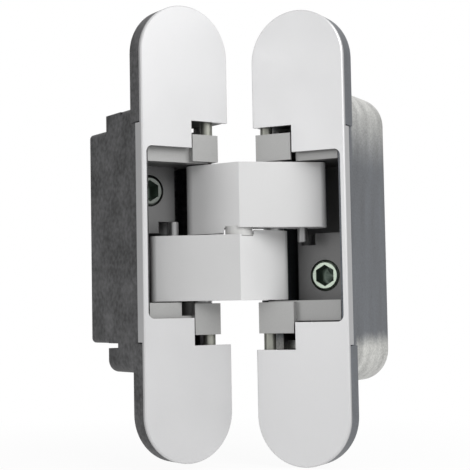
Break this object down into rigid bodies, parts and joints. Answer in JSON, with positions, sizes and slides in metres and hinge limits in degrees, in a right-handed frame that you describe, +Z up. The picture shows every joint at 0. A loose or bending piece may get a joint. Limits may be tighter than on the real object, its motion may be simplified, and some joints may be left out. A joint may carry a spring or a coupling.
{
  "type": "concealed door hinge",
  "caption": "Concealed door hinge: mortised housings with rounded cover plates, crossing arms on a centre pin and carriers that slide in height, shown partly open.",
  "frame": {"origin": "middle of the back of the left flange, the face that seats in the mortise, at the middle of the four fixing holes", "axes": "+Z up along the pivots, +Y into the left mortise, +X towards the right half, which stands 120 degrees open"},
  "size_m": [0.0651, 0.0531, 0.1114],
  "materials": {
    "satin_cover": "satin plated zinc die casting",
    "satin_arm": "satin plated zinc die casting",
    "plated_carrier": "satin plated zinc die casting",
    "rough_casting": "plain zinc die casting, as cast",
    "zinc_plated_steel": "zinc plated",
    "bright_steel": "ground",
    "dark_bearing_plastic": "moulded"
  },
  "bodies": {
    "left_half": {"left_housing": "rough_casting", "left_cover_plate": "satin_cover", "left_upper_stub": "bright_steel", "left_lower_stub": "bright_steel"},
    "left_slide": {"left_carrier": "plated_carrier", "left_pivot_rod": "bright_steel", "left_set_screw": "zinc_plated_steel", "left_spacer_sleeve": "bright_steel", "left_thrust_washer": "dark_bearing_plastic"},
    "upper_link": {"upper_arm": "satin_arm", "upper_arm_bush": "dark_bearing_plastic", "upper_centre_bush": "dark_bearing_plastic", "centre_pin": "bright_steel", "centre_washer": "dark_bearing_plastic", "right_guide_pin": "bright_steel", "right_guide_sleeve": "dark_bearing_plastic"},
    "lower_link": {"lower_arm": "satin_arm", "lower_arm_bush": "dark_bearing_plastic", "lower_centre_bush": "dark_bearing_plastic", "left_guide_pin": "bright_steel", "left_guide_sleeve": "dark_bearing_plastic"},
    "right_slide": {"right_carrier": "plated_carrier", "right_pivot_rod": "bright_steel", "right_set_screw": "zinc_plated_steel", "right_spacer_sleeve": "bright_steel", "right_thrust_washer": "dark_bearing_plastic"},
    "right_half": {"right_housing": "rough_casting", "right_cover_plate": "satin_cover", "right_upper_stub": "bright_steel", "right_lower_stub": "bright_steel"}
  },
  "joints": [
    {"name": "left_height", "type": "slide", "parent": "left_half", "child": "left_slide", "axis": [0, 0, 1], "range_m": [-0.00215, 0.00285]},
    {"name": "upper_arm_swing", "type": "hinge", "parent": "left_slide", "child": "upper_link", "pos_m": [0.0078, 0.0009, 0], "axis": [0, 0, 1], "range_deg": [-63.45, 31.73]},
    {"name": "lower_arm_swing", "type": "hinge", "parent": "upper_link", "child": "lower_link", "pos_m": [0.01208, -0.00977, 0.00015], "axis": [0, 0, 1], "range_deg": [-3.46, 6.92]},
    {"name": "right_carrier_swing", "type": "hinge", "parent": "lower_link", "child": "right_slide", "pos_m": [0.02347, -0.00814, 0], "axis": [0, 0, 1], "range_deg": [-63.47, 31.74]},
    {"name": "right_height", "type": "slide", "parent": "right_slide", "child": "right_half", "axis": [0, 0, 1], "range_m": [-0.0014, 0.0036]}
  ],
  "couplings": [
    {"joint": "lower_arm_swing", "follows": "upper_arm_swing", "ratio": -0.1089},
    {"joint": "right_carrier_swing", "follows": "upper_arm_swing", "ratio": 1}
  ]
}
